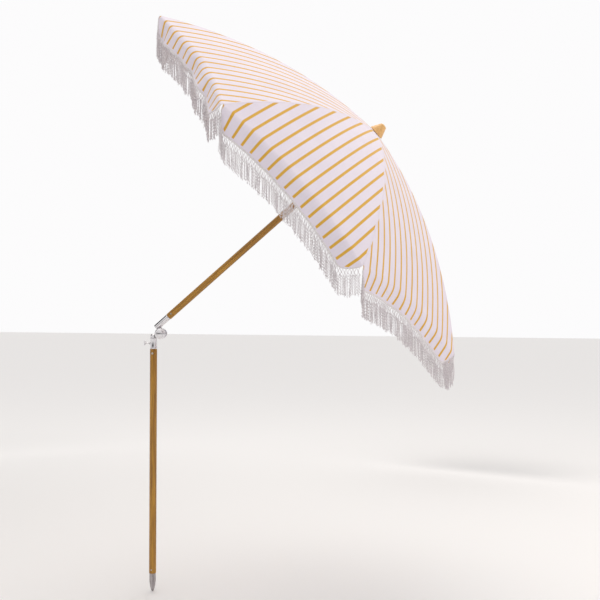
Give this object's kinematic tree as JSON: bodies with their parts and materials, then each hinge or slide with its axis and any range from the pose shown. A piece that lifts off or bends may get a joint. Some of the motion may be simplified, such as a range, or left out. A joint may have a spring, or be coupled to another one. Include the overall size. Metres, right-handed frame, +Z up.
{
  "type": "beach umbrella",
  "caption": "Tilting beach umbrella: fringed cloth dome on folding ribs, two-piece wooden pole with a side-hinged tilt joint and a pressed ground spike.",
  "frame": {"origin": "tip of the ground spike, on the axis of the lower pole", "axes": "+Z up along the lower pole; the top leans towards +X; the tilt hinge turns about Y"},
  "size_m": [1.2288, 1.6454, 2.2154],
  "materials": {
    "oak": "varnished ash-brown hardwood, straight grain",
    "pale_wood": "turned pale hardwood, satin varnish",
    "chrome": "bright chrome plate",
    "steel": "bare bright steel",
    "white_paint": "white baked paint on spring steel",
    "white_plastic": "moulded off-white plastic",
    "canvas": "white cotton-blend canvas with thin mustard stripes",
    "cotton": "off-white knotted cotton fringe"
  },
  "bodies": {
    "lower_pole": {"ground_spike": "steel", "spike_nail": "steel", "lower_pole": "oak", "lower_ferrule": "chrome", "ferrule_rivet": "chrome"},
    "thumb_screw": {"thumb_screw": "chrome"},
    "tilt_base": {"tilt_lower_knuckle": "chrome", "button_spring": "steel"},
    "tilt_button": {"tilt_button": "chrome"},
    "upper_pole": {"tilt_upper_knuckle": "chrome", "tilt_pivot_bolt": "chrome", "upper_rivet": "chrome", "upper_pole": "oak", "crown": "white_plastic", "crown_wire": "steel", "finial": "pale_wood"},
    "runner_catch": {"runner_catch": "steel"},
    "runner": {"runner": "white_plastic", "runner_wire": "steel"},
    "rib_1": {"rib_1": "white_paint", "canopy_gore_1": "canvas", "fringe_1": "cotton"},
    "stretcher_1": {"stretcher_1": "white_paint"},
    "rib_2": {"rib_2": "white_paint", "canopy_gore_2": "canvas", "fringe_2": "cotton"},
    "stretcher_2": {"stretcher_2": "white_paint"},
    "rib_3": {"rib_3": "white_paint", "canopy_gore_3": "canvas", "fringe_3": "cotton"},
    "stretcher_3": {"stretcher_3": "white_paint"},
    "rib_4": {"rib_4": "white_paint", "canopy_gore_4": "canvas", "fringe_4": "cotton"},
    "stretcher_4": {"stretcher_4": "white_paint"},
    "rib_5": {"rib_5": "white_paint", "canopy_gore_5": "canvas", "fringe_5": "cotton"},
    "stretcher_5": {"stretcher_5": "white_paint"},
    "rib_6": {"rib_6": "white_paint", "canopy_gore_6": "canvas", "fringe_6": "cotton"},
    "stretcher_6": {"stretcher_6": "white_paint"},
    "rib_7": {"rib_7": "white_paint", "canopy_gore_7": "canvas", "fringe_7": "cotton"},
    "stretcher_7": {"stretcher_7": "white_paint"},
    "rib_8": {"rib_8": "white_paint", "canopy_gore_8": "canvas", "fringe_8": "cotton"},
    "stretcher_8": {"stretcher_8": "white_paint"}
  },
  "joints": [
    {"name": "pole_lift", "type": "slide", "parent": "lower_pole", "child": "tilt_base", "axis": [0, 0, 1], "range_m": [0, 0.034]},
    {"name": "thumb_screw_turn", "type": "hinge", "parent": "lower_pole", "child": "thumb_screw", "pos_m": [-0.03, 0, 0.98], "axis": [-1, 0, 0], "continuous": true},
    {"name": "tilt", "type": "hinge", "parent": "tilt_base", "child": "upper_pole", "pos_m": [0.03, 0, 1.018], "axis": [0, 1, 0], "range_deg": [-49.5, 0]},
    {"name": "tilt_button_press", "type": "slide", "parent": "tilt_base", "child": "tilt_button", "axis": [0, 1, 0], "range_m": [0, 0.004], "stiffness_N_per_m": 1500, "springref_m": -0.002, "deforming": ["button_spring"]},
    {"name": "runner_catch_press", "type": "hinge", "parent": "upper_pole", "child": "runner_catch", "pos_m": [0.55962, 0, 1.5019], "axis": [0, 1, 0], "range_deg": [-9, 0], "stiffness_Nm_per_rad": 0.5, "springref_deg": 5.73},
    {"name": "runner_slide", "type": "slide", "parent": "upper_pole", "child": "runner", "axis": [-0.7604, 0, -0.6494], "range_m": [0, 0.45167], "deforming": ["runner_catch"]},
    {"name": "rib_1_fold", "type": "hinge", "parent": "upper_pole", "child": "rib_1", "pos_m": [0.86289, -0.02429, 1.77659], "axis": [0.631, -0.2368, -0.7388], "range_deg": [0, 64.5], "deforming": ["canopy_gore_1", "fringe_1"]},
    {"name": "stretcher_1_fold", "type": "hinge", "parent": "rib_1", "child": "stretcher_1", "pos_m": [0.76007, -0.36919, 1.79935], "axis": [0.631, -0.2368, -0.7388], "range_deg": [-106, 0]},
    {"name": "rib_2_fold", "type": "hinge", "parent": "upper_pole", "child": "rib_2", "pos_m": [0.87517, -0.02136, 1.76222], "axis": [0.5549, 0.5195, -0.6497], "range_deg": [0, 64.5], "deforming": ["canopy_gore_2", "fringe_2"]},
    {"name": "stretcher_2_fold", "type": "hinge", "parent": "rib_2", "child": "stretcher_2", "pos_m": [0.94673, -0.32469, 1.5808], "axis": [0.5549, 0.5195, -0.6497], "range_deg": [-106, 0]},
    {"name": "rib_3_fold", "type": "hinge", "parent": "upper_pole", "child": "rib_3", "pos_m": [0.88251, -0.00592, 1.75362], "axis": [0.1538, 0.9715, -0.1801], "range_deg": [0, 64.5], "deforming": ["canopy_gore_3", "fringe_3"]},
    {"name": "stretcher_3_fold", "type": "hinge", "parent": "rib_3", "child": "stretcher_3", "pos_m": [1.05829, -0.09, 1.45018], "axis": [0.1538, 0.9715, -0.1801], "range_deg": [-106, 0]},
    {"name": "rib_4_fold", "type": "hinge", "parent": "upper_pole", "child": "rib_4", "pos_m": [0.88061, 0.01299, 1.75585], "axis": [-0.3374, 0.8545, 0.395], "range_deg": [0, 64.5], "deforming": ["canopy_gore_4", "fringe_4"]},
    {"name": "stretcher_4_fold", "type": "hinge", "parent": "rib_4", "child": "stretcher_4", "pos_m": [1.0294, 0.19742, 1.48402], "axis": [-0.3374, 0.8545, 0.395], "range_deg": [-106, 0]},
    {"name": "rib_5_fold", "type": "hinge", "parent": "upper_pole", "child": "rib_5", "pos_m": [0.87058, 0.02429, 1.76759], "axis": [-0.631, 0.2368, 0.7388], "range_deg": [0, 64.5], "deforming": ["canopy_gore_5", "fringe_5"]},
    {"name": "stretcher_5_fold", "type": "hinge", "parent": "rib_5", "child": "stretcher_5", "pos_m": [0.87697, 0.36919, 1.66248], "axis": [-0.631, 0.2368, 0.7388], "range_deg": [-106, 0]},
    {"name": "rib_6_fold", "type": "hinge", "parent": "upper_pole", "child": "rib_6", "pos_m": [0.8583, 0.02136, 1.78197], "axis": [-0.5549, -0.5195, 0.6497], "range_deg": [0, 64.5], "deforming": ["canopy_gore_6", "fringe_6"]},
    {"name": "stretcher_6_fold", "type": "hinge", "parent": "rib_6", "child": "stretcher_6", "pos_m": [0.69031, 0.32469, 1.88103], "axis": [-0.5549, -0.5195, 0.6497], "range_deg": [-106, 0]},
    {"name": "rib_7_fold", "type": "hinge", "parent": "upper_pole", "child": "rib_7", "pos_m": [0.85096, 0.00592, 1.79056], "axis": [-0.1538, -0.9715, 0.1801], "range_deg": [0, 64.5], "deforming": ["canopy_gore_7", "fringe_7"]},
    {"name": "stretcher_7_fold", "type": "hinge", "parent": "rib_7", "child": "stretcher_7", "pos_m": [0.57875, 0.09, 2.01165], "axis": [-0.1538, -0.9715, 0.1801], "range_deg": [-106, 0]},
    {"name": "rib_8_fold", "type": "hinge", "parent": "upper_pole", "child": "rib_8", "pos_m": [0.85286, -0.01299, 1.78833], "axis": [0.3374, -0.8545, -0.395], "range_deg": [0, 64.5], "deforming": ["canopy_gore_8", "fringe_8"]},
    {"name": "stretcher_8_fold", "type": "hinge", "parent": "rib_8", "child": "stretcher_8", "pos_m": [0.60765, -0.19742, 1.97782], "axis": [0.3374, -0.8545, -0.395], "range_deg": [-106, 0]}
  ],
  "couplings": [
    {"joint": "rib_1_fold", "follows": "runner_slide", "rad_per_m": 2.4731},
    {"joint": "stretcher_1_fold", "follows": "runner_slide", "rad_per_m": -4.0454},
    {"joint": "rib_2_fold", "follows": "runner_slide", "rad_per_m": 2.4731},
    {"joint": "stretcher_2_fold", "follows": "runner_slide", "rad_per_m": -4.0454},
    {"joint": "rib_3_fold", "follows": "runner_slide", "rad_per_m": 2.4731},
    {"joint": "stretcher_3_fold", "follows": "runner_slide", "rad_per_m": -4.0454},
    {"joint": "rib_4_fold", "follows": "runner_slide", "rad_per_m": 2.4731},
    {"joint": "stretcher_4_fold", "follows": "runner_slide", "rad_per_m": -4.0454},
    {"joint": "rib_5_fold", "follows": "runner_slide", "rad_per_m": 2.4731},
    {"joint": "stretcher_5_fold", "follows": "runner_slide", "rad_per_m": -4.0454},
    {"joint": "rib_6_fold", "follows": "runner_slide", "rad_per_m": 2.4731},
    {"joint": "stretcher_6_fold", "follows": "runner_slide", "rad_per_m": -4.0454},
    {"joint": "rib_7_fold", "follows": "runner_slide", "rad_per_m": 2.4731},
    {"joint": "stretcher_7_fold", "follows": "runner_slide", "rad_per_m": -4.0454},
    {"joint": "rib_8_fold", "follows": "runner_slide", "rad_per_m": 2.4731},
    {"joint": "stretcher_8_fold", "follows": "runner_slide", "rad_per_m": -4.0454}
  ]
}
